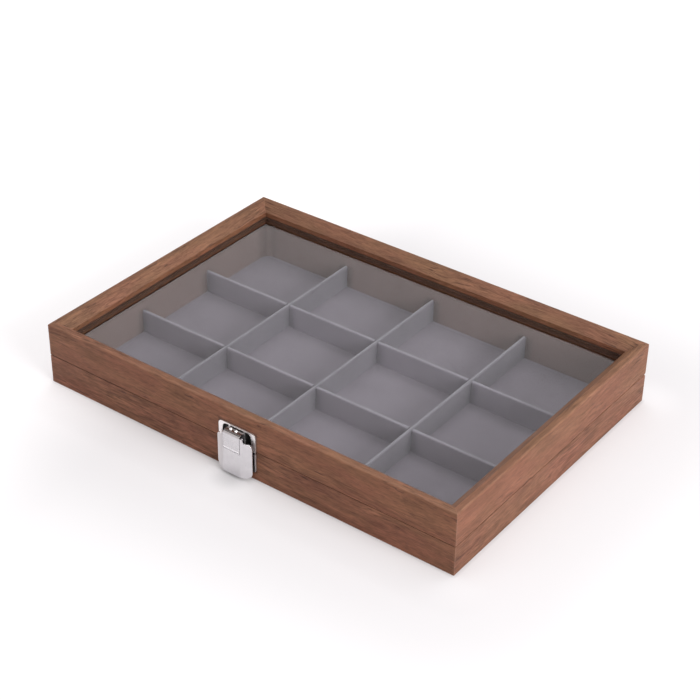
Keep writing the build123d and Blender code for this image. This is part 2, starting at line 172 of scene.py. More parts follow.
def newGroup(name, inputs, outputs, kind="ShaderNodeTree"):
    # inputs hold (name, kind of socket, value); outputs hold (name, kind of socket)
    tree = bpy.data.node_groups.new(name, kind)
    for label, socketKind, value in inputs:
        socket = tree.interface.new_socket(label, in_out="INPUT", socket_type="NodeSocket" + socketKind)
        if value is not None:
            socket.default_value = value
    for label, socketKind in outputs:
        tree.interface.new_socket(label, in_out="OUTPUT", socket_type="NodeSocket" + socketKind)
    # the tree, the sockets that its inputs come out of, and the node that its results go to
    return tree, addNode(tree, "NodeGroupInput").outputs, addNode(tree, "NodeGroupOutput")


def placeGroup(tree, group, sources):
    node = addNode(tree, "ShaderNodeGroup", node_tree=group)
    feedAll(tree, node, sources)
    return node.outputs


def newMaterial(name):
    material = bpy.data.materials.new(name)
    material.use_nodes = True
    tree = material.node_tree
    coordinates = addNode(tree, "ShaderNodeTexCoord").outputs["Object"]
    return material, tree, tree.nodes["Principled BSDF"], coordinates


def addBump(tree, shader, height, look):
    strength, distance = look["bump"]
    bump = addNode(tree, "ShaderNodeBump")
    feedAll(tree, bump, {"Strength": strength, "Distance": distance, "Height": height})
    if "edgeRadius" in look:
        # eased edges catch the light
        eased = addNode(tree, "ShaderNodeBevel", samples=8)
        feed(tree, eased.inputs["Radius"], look["edgeRadius"])
        feed(tree, bump.inputs["Normal"], eased.outputs[0])
    feed(tree, shader.inputs["Normal"], bump.outputs[0])


def seenMask(tree):
    # 1 for what the eye, metal and glass see, 0 for the light that falls on things
    path = addNode(tree, "ShaderNodeLightPath").outputs
    seen = mathNode(tree, "MAXIMUM", path["Is Camera Ray"], path["Is Glossy Ray"])
    return mathNode(tree, "MAXIMUM", seen, path["Is Transmission Ray"])


# shared effects
grainLook = {
    # each layer's scale along and across the grain, per millimetre, and its detail and roughness
    "layers": {
        "clouds": (0.018, 0.065, 2.0, 0.55),
        "quiet": (0.016, 0.060, 1.0, 0.55),
        "mottle": (0.034, 0.12, 3.0, 0.6),
        "bands": (0.006, 0.15, 2.0, 0.55),
        "streaks": (0.055, 0.60, 3.0, 0.6),
        "fibres": (0.11, 1.3, 3.0, 0.65),
        "dashes": (0.070, 0.80, 3.0, 0.55),
        "pores": (0.20, 3.6, 0.0, 0.55),
    },
    # how the grain wanders: scale along and across it, and reach in millimetres
    "sways": ((0.010, 0.04, 10.0), (0.045, 0.15, 2.2)),
    # how much each layer lightens and darkens
    "tones": {"bands": 0.40, "mottle": 0.55, "fibres": 0.80, "streaks": 0.92},
    "clouds": (0.30, 0.70),            # red brown below, olive brown above
    "busy": (0.42, 0.62, 0.35, 1.3),   # from calm to lively: range of the quiet layer, and strengths
    "dashes": {"start": 0.56, "full": 0.68, "dark": 0.68},
    "pores": {"start": 0.62, "full": 0.70, "dark": 0.40, "sunk": -0.8},
    "roughness": (0.56, 0.42),         # of dark and of bright grain
}


def makeWoodGrain(look):
    # grain along local X: clouds of red and olive brown under streaks, short dark dashes and open pores
    tree, source, sink = newGroup(
        "woodGrain",
        [
            ("Vector", "Vector", None),
            ("Shift", "Vector", (0, 0, 0)),
            ("Red Brown", "Color", (0.24, 0.1, 0.06, 1)),
            ("Olive Brown", "Color", (0.22, 0.11, 0.06, 1)),
            ("Heartwood", "Color", (0.1, 0.05, 0.03, 1)),
            ("Depth", "Float", 1.0),
        ],
        [("Color", "Color"), ("Roughness", "Float"), ("Height", "Float")],
    )
    inMillimetres = scaleVector(tree, source["Vector"], 1000)
    moved = vectorNode(tree, "ADD", inMillimetres, source["Shift"])

    def layer(vector, along, across, detail, roughness=0.55):
        scaled = vectorNode(tree, "MULTIPLY", vector, (along, across, across))
        return noiseNode(tree, scaled, 1.0, detail, roughness)

    wavy = moved
    for along, across, reach in look["sways"]:
        drift = mathNode(tree, "SUBTRACT", layer(moved, along, across, 1.0), 0.5)
        push = mathNode(tree, "MULTIPLY", drift, reach)
        offset = addNode(tree, "ShaderNodeCombineXYZ")
        feedAll(tree, offset, {"Y": push, "Z": push})
        wavy = vectorNode(tree, "ADD", wavy, offset.outputs[0])
    layers = {
        name: layer(moved if name == "quiet" else wavy, *values) for name, values in look["layers"].items()
    }

    cloudy = smoothRange(tree, layers["clouds"], *look["clouds"])
    colour = mixColour(tree, cloudy, source["Red Brown"], source["Olive Brown"])
    busy = smoothRange(tree, layers["quiet"], *look["busy"])
    tone = 0.0
    for name, amount in look["tones"].items():
        centred = mathNode(tree, "SUBTRACT", layers[name], 0.5)
        if name == "streaks":
            centred = mathNode(tree, "MULTIPLY", centred, busy)
        tone = mathNode(tree, "MULTIPLY_ADD", centred, amount, tone)
    bright = mathNode(tree, "MULTIPLY_ADD", tone, source["Depth"], 1.0)
    colour = scaleVector(tree, colour, bright)

    dashes, pores = look["dashes"], look["pores"]
    dash = rangeNode(tree, layers["dashes"], dashes["start"], dashes["full"])
    dash = mathNode(tree, "MULTIPLY", mathNode(tree, "MULTIPLY", dash, busy), dashes["dark"], clamp=True)
    colour = mixColour(tree, dash, colour, source["Heartwood"])
    hole = rangeNode(tree, layers["pores"], pores["start"], pores["full"])
    colour = mixColour(tree, mathNode(tree, "MULTIPLY", hole, pores["dark"]), colour, source["Heartwood"])
    feedAll(tree, sink, {
        "Color": colour,
        "Roughness": rangeNode(tree, bright, 0.7, 1.3, *look["roughness"]),
        "Height": mathNode(tree, "MULTIPLY_ADD", hole, pores["sunk"], layers["fibres"]),
    })
    return tree


edgeSizes = {
    "Wear Width": 0.0008,
    "Wear Patches": 60.0,
    "Joint Width": 0.00022,
    "Crease Height": 0.0400,   # where the lid's inner faces meet the glass
    "Crease Width": 0.0009,
    "Sight Inset": 0.0118,
    "Seam Height": 0.0236,
    "Seam Width": 0.0011,
    "Seam Patches": 14.0,
    "Dark End": -0.130,        # the seam is darkest from here to the left
    "Light End": -0.060,
}


def makeCaseEdges(sizes):
    # masks: worn arrises, mitre joints at the case's corners, the crease at the glass for painted shade, and
    # the lid's seam
    tree, source, sink = newGroup(
        "caseEdges",
        [
            ("Vector", "Vector", None), ("Half Length", "Float", halfLength),
            ("Half Width", "Float", halfWidth), ("Top", "Float", caseTop),
            *((name, "Float", size) for name, size in sizes.items()),
        ],
        [("Wear", "Float"), ("Joint", "Float"), ("Crease", "Float"), ("Seam", "Float")],
    )
    parts = splitVector(tree, source["Vector"])
    insetX = mathNode(tree, "SUBTRACT", source["Half Length"], mathNode(tree, "ABSOLUTE", parts["X"]))
    insetY = mathNode(tree, "SUBTRACT", source["Half Width"], mathNode(tree, "ABSOLUTE", parts["Y"]))
    insetTop = mathNode(tree, "ABSOLUTE", mathNode(tree, "SUBTRACT", source["Top"], parts["Z"]))

    # an arris is where two of the three insets are small at once
    topX = mathNode(tree, "MAXIMUM", insetX, insetTop)
    topY = mathNode(tree, "MAXIMUM", insetY, insetTop)
    corner = mathNode(tree, "MAXIMUM", insetX, insetY)
    nearest = mathNode(tree, "MINIMUM", mathNode(tree, "MINIMUM", topX, topY), corner)
    near = smoothRange(tree, mathNode(tree, "DIVIDE", nearest, source["Wear Width"]), 0.6, 2.2, 1.0, 0.0)
    patches = noiseNode(tree, source["Vector"], source["Wear Patches"], 3.0)
    uneven = rangeNode(tree, patches, 0.4, 0.65, 0.35, 1.0)

    apart = mathNode(tree, "ABSOLUTE", mathNode(tree, "SUBTRACT", insetX, insetY))
    joint = mathNode(tree, "DIVIDE", apart, source["Joint Width"])

    # dust and painted shade gather where the inner face meets the glass
    above = mathNode(tree, "SUBTRACT", parts["Z"], source["Crease Height"])
    above = mathNode(tree, "DIVIDE", above, source["Crease Width"])
    low = smoothRange(tree, above, 0.35, 1.0, 1.0, 0.0)
    within = mathNode(tree, "GREATER_THAN", mathNode(tree, "MINIMUM", insetX, insetY), source["Sight Inset"])

    # the line between lid and base is darker in places
    offset = mathNode(tree, "ABSOLUTE", mathNode(tree, "SUBTRACT", parts["Z"], source["Seam Height"]))
    offset = mathNode(tree, "DIVIDE", offset, source["Seam Width"])
    line = smoothRange(tree, offset, 0.25, 1.0, 1.0, 0.0)
    patches = noiseNode(tree, source["Vector"], source["Seam Patches"], 2.0)
    places = smoothRange(tree, patches, 0.48, 0.64, 0.0, 0.45)
    end = smoothRange(tree, parts["X"], source["Dark End"], source["Light End"], 1.0, 0.0)
    feedAll(tree, sink, {
        "Wear": mathNode(tree, "MULTIPLY", near, uneven),
        "Joint": smoothRange(tree, joint, 0.5, 1.3, 1.0, 0.0),
        "Crease": mathNode(tree, "MULTIPLY", low, within),
        "Seam": mathNode(tree, "MULTIPLY", line, mathNode(tree, "MAXIMUM", places, end)),
    })
    return tree


pileScales = {"brushed": 38.0, "tufts": 2400.0, "tips": 6000.0}


def makeVelvetPile(scales):
    # short velvet pile: soft brushed patches, a fine speckle of tips, and a band of given colour just below a
    # height, painted highlight along the boards' tops and painted shade along the linings' tops
    tree, source, sink = newGroup(
        "velvetPile",
        [
            ("Vector", "Vector", None),
            ("Deep", "Color", (0.15, 0.14, 0.15, 1)),
            ("Tip", "Color", (0.3, 0.28, 0.3, 1)),
            ("Top Shading", "Color", (0.35, 0.33, 0.35, 1)),
            ("Speckle", "Float", 0.5),
            ("Top Shading Height", "Float", 1.0),
            ("Top Shading Depth", "Float", 0.0004),
        ],
        [("Color", "Color"), ("Height", "Float"), ("Roughness", "Float")],
    )
    brushed = noiseNode(tree, source["Vector"], scales["brushed"], 3.0, 0.6)
    tufts = noiseNode(tree, source["Vector"], scales["tufts"], 2.0, 0.6)
    tips = noiseNode(tree, source["Vector"], scales["tips"], 1.0, 0.5)
    fine = rangeNode(tree, mathNode(tree, "ADD", tufts, tips), 0.7, 1.3, -0.5, 0.5)
    fine = mathNode(tree, "MULTIPLY", fine, source["Speckle"])
    soft = rangeNode(tree, brushed, 0.3, 0.7, 0.3, 0.7)
    amount = mathNode(tree, "ADD", soft, fine, clamp=True)
    colour = mixColour(tree, amount, source["Deep"], source["Tip"])

    # a band of painted light just below the given height: lighter on the boards' tops, darker on the linings'
    # tops
    height = splitVector(tree, source["Vector"])["Z"]
    below = mathNode(tree, "SUBTRACT", source["Top Shading Height"], height)
    below = mathNode(tree, "DIVIDE", below, source["Top Shading Depth"])
    topShading = smoothRange(tree, below, 0.25, 1.2, 1.0, 0.0)
    topShading = mathNode(tree, "MULTIPLY", topShading, rangeNode(tree, brushed, 0.3, 0.6, 0.75, 1.0))
    feedAll(tree, sink, {
        "Color": mixColour(tree, topShading, colour, source["Top Shading"]),
        "Height": mathNode(tree, "MULTIPLY_ADD", tips, 0.5, tufts),
        "Roughness": rangeNode(tree, tufts, 0.3, 0.7, 0.95, 0.8),
    })
    return tree


plateScales = {"haze": 160.0, "pits": 2400.0}


def makePlateFinish(scales):
    # plated metal: faint drawn lines, handling haze and tiny pits
    tree, source, sink = newGroup(
        "plateFinish",
        [
            ("Vector", "Vector", None),
            ("Lines", "Vector", (300.0, 300.0, 6000.0)),
            ("Smooth", "Float", 0.08),
            ("Hazy", "Float", 0.2),
            ("Clean", "Color", (0.8, 0.8, 0.8, 1)),
            ("Dull", "Color", (0.6, 0.6, 0.6, 1)),
        ],
        [("Color", "Color"), ("Roughness", "Float"), ("Height", "Float")],
    )
    lines = noiseNode(tree, vectorNode(tree, "MULTIPLY", source["Vector"], source["Lines"]), 1.0, 2.0)
    haze = noiseNode(tree, source["Vector"], scales["haze"], 4.0, 0.6)
    pits = noiseNode(tree, source["Vector"], scales["pits"], 1.0)
    dirt = rangeNode(tree, haze, 0.42, 0.72)
    pitted = rangeNode(tree, pits, 0.70, 0.78)
    mixed = mathNode(tree, "MULTIPLY_ADD", lines, 0.4, mathNode(tree, "MULTIPLY", dirt, 0.6))
    span = mathNode(tree, "SUBTRACT", source["Hazy"], source["Smooth"])
    feedAll(tree, sink, {
        "Color": mixColour(tree, mathNode(tree, "MULTIPLY", dirt, 0.5), source["Clean"], source["Dull"]),
        "Roughness": mathNode(tree, "MULTIPLY_ADD", mixed, span, source["Smooth"]),
        "Height": mathNode(tree, "MULTIPLY_ADD", pitted, -0.6, lines),
    })
    return tree


woodGrain = makeWoodGrain(grainLook)
caseEdges = makeCaseEdges(edgeSizes)
velvetPile = makeVelvetPile(pileScales)
plateFinish = makePlateFinish(plateScales)
print("shared effects are built")


# wood
walnutLook = {
    "redBrown": (0.238, 0.092, 0.052, 1),
    "oliveBrown": (0.222, 0.096, 0.050, 1),
    "heartwood": (0.080, 0.031, 0.019, 1),
    "depth": 1.3,
    "worn": (0.36, 0.19, 0.125, 1),
    "joint": (0.34, 0.19, 0.13, 1),
    "crease": (0.050, 0.022, 0.014, 1),
    "windowShade": (0.006, 0.005, 0.005, 1),
    "upFacingSheen": (0.91, 1.03, 1.10, 1),   # painted sheen: faces that look up are tinted greyer, as by the light from above
    # how strongly each mask shows, and in which colour; the crease's dark colour is painted shade
    "masks": {
        "Wear": (0.3, "worn"), "Joint": (0.35, "joint"), "Crease": (0.65, "crease"),
        "Seam": (0.42, "heartwood"),
    },
    "plateShadow": (0.0002, 0.0014, 0.62),    # start, end and strength of a painted contact shadow beside the latch's plates
    "specular": 0.22,
    "bump": (0.25, 0.00012),
}
# the base's rails: a darker copy of the lid's walnut, painted shade towards the bottom of the case
baseLook = dict(
    walnutLook, redBrown=(0.224, 0.086, 0.050, 1), oliveBrown=(0.208, 0.090, 0.048, 1), depth=1.8,
)
# the glazing beads: a darker copy of the walnut, painted shade under the glass
beadLook = dict(
    walnutLook, redBrown=(0.172, 0.088, 0.066, 1), oliveBrown=(0.158, 0.092, 0.066, 1),
    heartwood=(0.06, 0.031, 0.021, 1),
)
calmLook = dict(walnutLook, depth=1.0)
# where each side's veneer is cut from in millimetres, and how much further on for base and beads
veneerShifts = {"front": (37, 0, 11), "rear": (410, 5, 63), "left": (820, 9, 140), "right": (1210, 2, 205)}
baseVeneer, beadVeneer = 90, 50
# upright areas on the front face: what the latch's windows look into, painted near black as shade, and what
# its plates cover
plateFoot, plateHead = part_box("latch_base_plate")[0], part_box("latch_strike_plate")[1]
latchWindowShade = {"halfWide": 0.0127, "foot": 0.0254, "head": 0.0372, "face": frontFace + 0.0003}
latchPlates = {"halfWide": plateHead.x, "foot": plateFoot.z, "head": plateHead.z, "face": frontFace + 0.0002}


def awayFrom(tree, coordinates, area):
    # distance outside an upright area on the front face, which is below zero within it
    parts = splitVector(tree, coordinates)
    aside = mathNode(tree, "SUBTRACT", mathNode(tree, "ABSOLUTE", parts["X"]), area["halfWide"])
    behind = mathNode(tree, "SUBTRACT", parts["Y"], area["face"])
    under = mathNode(tree, "SUBTRACT", area["foot"], parts["Z"])
    over = mathNode(tree, "SUBTRACT", parts["Z"], area["head"])
    return mathNode(
        tree, "MAXIMUM", mathNode(tree, "MAXIMUM", aside, behind), mathNode(tree, "MAXIMUM", under, over),
    )


def makeWood(name, look, turned, shift, top=caseTop, windowShade=None, plates=None):
    material, tree, shader, coordinates = newMaterial(name)
    mapping = addNode(tree, "ShaderNodeMapping")
    feedAll(tree, mapping, {"Vector": coordinates, "Rotation": (0, 0, math.radians(90 if turned else 0))})
    grain = placeGroup(tree, woodGrain, {
        "Vector": mapping.outputs[0], "Shift": shift, "Depth": look["depth"],
        "Red Brown": look["redBrown"], "Olive Brown": look["oliveBrown"], "Heartwood": look["heartwood"],
    })
    edges = placeGroup(tree, caseEdges, {"Vector": coordinates, "Top": top})
    # painted sheen on the faces that look up, chosen by their facing
    facing = splitVector(tree, addNode(tree, "ShaderNodeTexCoord").outputs["Normal"])
    upFacingShare = rangeNode(tree, facing["Z"], 0.4, 0.7)
    colour = mixColour(tree, upFacingShare, grain["Color"], look["upFacingSheen"], "MULTIPLY")
    for mask, (strength, tone) in look["masks"].items():
        colour = mixColour(tree, mathNode(tree, "MULTIPLY", edges[mask], strength), colour, look[tone])
    if plates:
        # painted contact shadow on the wood round the latch's plates
        start, end, strength = look["plateShadow"]
        plateShadow = smoothRange(tree, awayFrom(tree, coordinates, plates), start, end, strength, 0.0)
        colour = mixColour(tree, plateShadow, colour, look["crease"])
    if windowShade:
        # painted shade: the wood seen through the latch's windows is near black
        inside = mathNode(tree, "LESS_THAN", awayFrom(tree, coordinates, windowShade), 0.0)
        colour = mixColour(tree, inside, colour, look["windowShade"])
    feedAll(tree, shader, {
        "Base Color": colour, "Roughness": grain["Roughness"], "Specular IOR Level": look["specular"],
    })
    addBump(tree, shader, grain["Height"], look)
    return material


def coat(piece, material):
    piece.data.materials.clear()
    piece.data.materials.append(material)


beadTop = caseTop + 0.01   # out of the worn arris's reach
for side, shift in veneerShifts.items():
    turned = side in ("left", "right")
    windowShade, plates = (latchWindowShade, latchPlates) if side == "front" else (None, None)
    lidLook = calmLook if side == "right" else walnutLook
    baseShift = tuple(place + baseVeneer for place in shift)
    beadShift = tuple(place + beadVeneer for place in shift)
    lidWood = makeWood(f"walnutLid_{side}", lidLook, turned, shift, windowShade=windowShade, plates=plates)
    baseWood = makeWood(f"walnutBase_{side}", baseLook, turned, baseShift, plates=plates)
    beadWood = makeWood(f"walnutBead_{side}", beadLook, turned, beadShift, beadTop)
    coat(nodes[f"lid_{side}_rail"], lidWood)
    coat(nodes[f"base_{side}_rail"], baseWood)
    coat(nodes[f"{side}_glazing_strip"], beadWood)
print("wood is veneered")


# velvet
# the dividers' and linings' places, from the frame
longLow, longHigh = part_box("long_divider_1")
crossLow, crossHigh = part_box("cross_divider_1")
floorTop, dividerTop = longLow.z, longHigh.z
thickness = crossHigh.x - crossLow.x
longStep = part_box("long_divider_2")[0].y - longLow.y
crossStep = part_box("cross_divider_2")[0].x - crossLow.x
crossPlaces = [-crossStep, 0, crossStep]
longPlaces = [-longStep / 2, longStep / 2]
wallX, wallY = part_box("right_wall_lining")[0].x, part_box("rear_wall_lining")[0].y
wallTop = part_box("rear_wall_lining")[1].z

velvetLook = {
    "speckle": 0.10,
    "sheen": 0.30,
    "sheenRoughness": 0.45,
    "sheenTint": (0.94, 0.88, 0.94, 1),
    "specular": 0.1,
    "bump": (0.05, 0.00012),
}
# pile colours: deep in the nap, at its tips, and in the band along the top, which is a painted highlight on
# the boards and painted shade on the linings
# the long boards and the front and rear linings face the front and take lighter copies of the cross boards'
# and end linings' shades: painted light
pileShades = {
    "floor": {"deep": (0.197, 0.161, 0.190, 1), "tip": (0.259, 0.216, 0.251, 1)},
    "long": {
        "deep": (0.290, 0.246, 0.288, 1), "tip": (0.382, 0.326, 0.382, 1),
        "topShading": (0.273, 0.246, 0.270, 1),
    },
    "cross": {
        "deep": (0.183, 0.156, 0.180, 1), "tip": (0.241, 0.208, 0.238, 1),
        "topShading": (0.282, 0.255, 0.282, 1),
    },
    "frontRear": {
        "deep": (0.252, 0.172, 0.163, 1), "tip": (0.325, 0.224, 0.213, 1),
        "topShading": (0.215, 0.146, 0.137, 1),
    },
    "ends": {
        "deep": (0.192, 0.127, 0.119, 1), "tip": (0.248, 0.166, 0.156, 1),
        "topShading": (0.165, 0.108, 0.099, 1),
    },
}
# how far painted shade reaches from a corner or a board that the nap meets, and how much
nookShadeLook = {
    "cornerReach": 0.016,
    "corner": 0.34,
    "besideReach": 0.010,
    "wallBeside": 0.34,
    "boardBeside": 0.28,
    "fade": 0.006,            # over which it ends towards the board's top
    "boardOver": 0.001,       # how far over the board's top it ends
    "wallOver": 0.003,
}
# how deep the painted top band reaches on the boards and on the linings
topShadingDepths = {"board": 0.00026, "wall": 0.0016}
black = (0, 0, 0, 1)


def cornerShade(tree, coordinates, colour, half):
    # painted shade towards the upright corners of the lining
    parts = splitVector(tree, coordinates)
    gaps = [
        mathNode(tree, "SUBTRACT", reach, mathNode(tree, "ABSOLUTE", parts[axis]))
        for axis, reach in zip("XY", half)
    ]
    away = mathNode(tree, "MAXIMUM", *gaps)
    near = smoothRange(tree, away, 0.0, nookShadeLook["cornerReach"], nookShadeLook["corner"], 0.0)
    return mixColour(tree, near, colour, black)


def besideShade(tree, coordinates, colour, strength, axis, places, top):
    # painted shade beside each board that the nap meets, below the board's top
    parts = splitVector(tree, coordinates)
    beside = 1.0
    for place in places:
        gap = mathNode(tree, "ABSOLUTE", mathNode(tree, "SUBTRACT", parts[axis], place))
        beside = mathNode(tree, "MINIMUM", gap, beside)
    near = smoothRange(tree, beside, thickness / 2, nookShadeLook["besideReach"], strength, 0.0)
    low = smoothRange(tree, parts["Z"], top - nookShadeLook["fade"], top, 1.0, 0.0)
    return mixColour(tree, mathNode(tree, "MULTIPLY", near, low), colour, black)


def makeVelvet(name, look, shades, topShadingBand=None, half=None, beside=None):
    # the fourth argument holds the height and depth of the painted top band, and beside holds what
    # besideShade needs
    material, tree, shader, coordinates = newMaterial(name)
    sources = {
        "Vector": coordinates, "Deep": shades["deep"], "Tip": shades["tip"], "Speckle": look["speckle"],
    }
    if topShadingBand:
        sources |= {"Top Shading": shades["topShading"], "Top Shading Height": topShadingBand[0], "Top Shading Depth": topShadingBand[1]}
    pile = placeGroup(tree, velvetPile, sources)
    colour = pile["Color"]
    if half:
        colour = cornerShade(tree, coordinates, colour, half)
    if beside:
        colour = besideShade(tree, coordinates, colour, *beside)
    feedAll(tree, shader, {
        "Base Color": colour, "Roughness": pile["Roughness"], "Specular IOR Level": look["specular"],
        "Sheen Weight": look["sheen"], "Sheen Roughness": look["sheenRoughness"],
        "Sheen Tint": look["sheenTint"],
    })
    addBump(tree, shader, pile["Height"], look)
    return material


# painted highlight along the boards' tops, painted shade along the linings' tops
boardTopHighlight = (dividerTop, topShadingDepths["board"])
boardShadeTop = dividerTop + nookShadeLook["boardOver"]
wallTopShade = (wallTop, topShadingDepths["wall"])
wallShadeTop = dividerTop + nookShadeLook["wallOver"]
# what stands beside a long and a cross divider: the other boards, and the linings half a board further out
besideLong = [-wallX - thickness / 2, *crossPlaces, wallX + thickness / 2]
besideCross = [-wallY - thickness / 2, *longPlaces, wallY + thickness / 2]
# lighter copies for the long boards and for the front and rear linings: painted light
floorVelvet = makeVelvet("velvetOnFloor", velvetLook, pileShades["floor"])
longVelvet = makeVelvet(
    "velvetOnLongDividers", velvetLook, pileShades["long"], boardTopHighlight,
    beside=(nookShadeLook["boardBeside"], "X", besideLong, boardShadeTop),
)
crossVelvet = makeVelvet(
    "velvetOnCrossDividers", velvetLook, pileShades["cross"], boardTopHighlight,
    beside=(nookShadeLook["boardBeside"], "Y", besideCross, boardShadeTop),
)
wallVelvets = {}
for sides, label, shades, axis, places in (
    (("front", "rear"), "Front", "frontRear", "X", crossPlaces),
    (("left", "right"), "End", "ends", "Y", longPlaces),
):
    velvet = makeVelvet(
        f"velvetOn{label}Walls", velvetLook, pileShades[shades], wallTopShade, half=(wallX, wallY),
        beside=(nookShadeLook["wallBeside"], axis, places, wallShadeTop),
    )
    wallVelvets |= dict.fromkeys(sides, velvet)
print("velvet is dyed")


# metal
plateLook = {
    "clean": (0.73, 0.715, 0.735, 1),
    "dull": (0.62, 0.61, 0.63, 1),
    "smooth": 0.04,
    "hazy": 0.16,
    "lines": (300.0, 300.0, 5200.0),
    "edgeRadius": 0.00025,
    "bump": (0.06, 0.00004),
}
# tones along an axis, or away from the middle: where a change starts and ends, and its colour
# the lever's left flank is lighter: a painted highlight
leverLook = dict(plateLook, tones=(("X", -0.0085, -0.0150, (0.93, 0.91, 0.93, 1)),))
# the claw is lighter at its foot, a painted highlight, and darker over its roll, a painted dark reflection
clawLook = dict(
    plateLook, smooth=0.20, hazy=0.34, tones=(
        ("Z", 0.02345, 0.0232, (0.98, 0.97, 0.99, 1)), ("Z", 0.0339, 0.0354, (0.34, 0.31, 0.31, 1)),
    ),
)
# the plates: a rougher copy of the chrome, lighter than the lever's so that they read as lit: painted light
strikeLook = dict(
    plateLook, clean=(0.98, 0.95, 0.95, 1), dull=(0.90, 0.87, 0.87, 1), smooth=0.28, hazy=0.42,
)
# a dark band on the base plate beside the lever: a painted shadow line
basePlateLook = dict(
    strikeLook, tones=(
        ("aside", 0.0130, 0.0137, (0.07, 0.06, 0.06, 1)), ("aside", 0.0149, 0.0153, (0.98, 0.95, 0.95, 1)),
    ),
)
# the pips: a lighter copy of the chrome, which brightens their highlights: painted light
pipLook = dict(plateLook, clean=(0.98, 0.97, 0.98, 1), dull=(0.95, 0.94, 0.95, 1), smooth=0.22, hazy=0.28)
steelLook = dict(
    plateLook, clean=(0.62, 0.61, 0.60, 1), dull=(0.42, 0.41, 0.40, 1), smooth=0.22, hazy=0.42,
    lines=(260.0, 4200.0, 4200.0), edgeRadius=0.0002,
)


def makeMetal(name, look):
    material, tree, shader, coordinates = newMaterial(name)
    finish = placeGroup(tree, plateFinish, {
        "Vector": coordinates, "Lines": look["lines"], "Smooth": look["smooth"], "Hazy": look["hazy"],
        "Clean": look["clean"], "Dull": look["dull"],
    })
    colour = finish["Color"]
    parts = splitVector(tree, coordinates)
    # bands of painted highlight, painted shadow and painted dark reflection, where a look lists them
    for axis, start, end, tone in look.get("tones", ()):
        place = mathNode(tree, "ABSOLUTE", parts["X"]) if axis == "aside" else parts[axis]
        colour = mixColour(tree, smoothRange(tree, place, start, end), colour, tone)
    feedAll(tree, shader, {"Base Color": colour, "Roughness": finish["Roughness"], "Metallic": 1})
    addBump(tree, shader, finish["Height"], look)
    return material


plated = makeMetal("chromePlate", plateLook)
latchMetals = {
    "latch_lever": makeMetal("chromeLever", leverLook),
    "latch_claw": makeMetal("chromeClaw", clawLook),
    "latch_strike_plate": makeMetal("chromeStrike", strikeLook),
    "latch_base_plate": makeMetal("chromeBase", basePlateLook),
}
pipPlated = makeMetal("chromePip", pipLook)
steel = makeMetal("hingeSteel", steelLook)
for name in nodes:
    if name.startswith("latch_"):
        coat(nodes[name], latchMetals.get(name, plated))
    elif "_hinge_" in name:
        coat(nodes[name], steel)
print("metal is plated")


# glass pane
glassLook = {
    "tint": (0.93, 0.95, 0.95, 1),
    "smearTint": (0.90, 0.93, 0.92, 1),
    "smearScale": 24.0,
    "smearRoughness": 0.02,
    "refraction": 1.5,
    "shadowTint": (0.90, 0.92, 0.92, 1),
}


def makeGlass(name, look):
    material, tree, shader, coordinates = newMaterial(name)
    smears = noiseNode(tree, coordinates, look["smearScale"], 4.0, 0.6)
    tint = mixColour(tree, rangeNode(tree, smears, 0.5, 0.9, 0.0, 0.5), look["tint"], look["smearTint"])
    feedAll(tree, shader, {
        "Base Color": tint, "Roughness": rangeNode(tree, smears, 0.45, 0.8, 0.0, look["smearRoughness"]),
        "Metallic": 0, "Transmission Weight": 1, "IOR": look["refraction"],
    })
    # light that only passes on its way to the velvet goes straight through
    clear = addNode(tree, "ShaderNodeBsdfTransparent")
    feed(tree, clear.inputs["Color"], look["shadowTint"])
    path = addNode(tree, "ShaderNodeLightPath").outputs
    passing = mathNode(tree, "MAXIMUM", path["Is Shadow Ray"], path["Is Diffuse Ray"])
    mixed = addNode(tree, "ShaderNodeMixShader")
    feedInOrder(tree, mixed, (passing, shader.outputs[0], clear.outputs[0]))
    feed(tree, tree.nodes["Material Output"].inputs["Surface"], mixed.outputs[0])
    return material


coat(nodes["glass_pane"], makeGlass("clearGlass", glassLook))


# bottom panel
boardLook = {
    "dark": (0.045, 0.030, 0.022, 1),
    "light": (0.095, 0.066, 0.050, 1),
    "fibreScale": 420.0,
    "blotchScale": 22.0,
    "bump": (0.3, 0.0001),
}


def makeBoard(name, look):
    material, tree, shader, coordinates = newMaterial(name)
    fibres = noiseNode(tree, coordinates, look["fibreScale"], 5.0, 0.65)
    blotches = noiseNode(tree, coordinates, look["blotchScale"], 2.0)
    amount = mathNode(tree, "MULTIPLY_ADD", blotches, 0.4, mathNode(tree, "MULTIPLY", fibres, 0.6))
    feedAll(tree, shader, {
        "Base Color": mixColour(tree, rangeNode(tree, amount, 0.35, 0.65), look["dark"], look["light"]),
        "Roughness": rangeNode(tree, fibres, 0.3, 0.7, 0.9, 0.7),
    })
    addBump(tree, shader, fibres, look)
    return material


coat(nodes["base_bottom_panel"], makeBoard("panelBoard", boardLook))
print("glass and bottom panel are finished")


# mesh helpers
def meshFrom(made, name):
    # the mesh of a finished bmesh, with its faces outward
    bmesh.ops.recalc_face_normals(made, faces=made.faces)
    mesh = bpy.data.meshes.new(name)
    made.to_mesh(mesh)
    made.free()
    return mesh


def bandFaces(made, lower, upper):
    # a band of faces between two closed rings of as many points
    for i in range(len(lower)):
        j = (i + 1) % len(lower)
        made.faces.new((lower[i], lower[j], upper[j], upper[i]))


def loftRings(name, rings):
    # joins closed rings of points into one closed skin
    made = bmesh.new()
    rows = [[made.verts.new(point) for point in ring] for ring in rings]
    for lower, upper in zip(rows, rows[1:]):
        bandFaces(made, lower, upper)
    made.faces.new(list(reversed(rows[0])))
    made.faces.new(rows[-1])
    return meshFrom(made, name)


def evenSteps(start, end, count):
    return [start + (end - start) * i / count for i in range(count + 1)]


def circlePoints(radius, height, sides):
    turns = [2 * math.pi * k / sides for k in range(sides)]
    return [(radius * math.cos(turn), radius * math.sin(turn), height) for turn in turns]


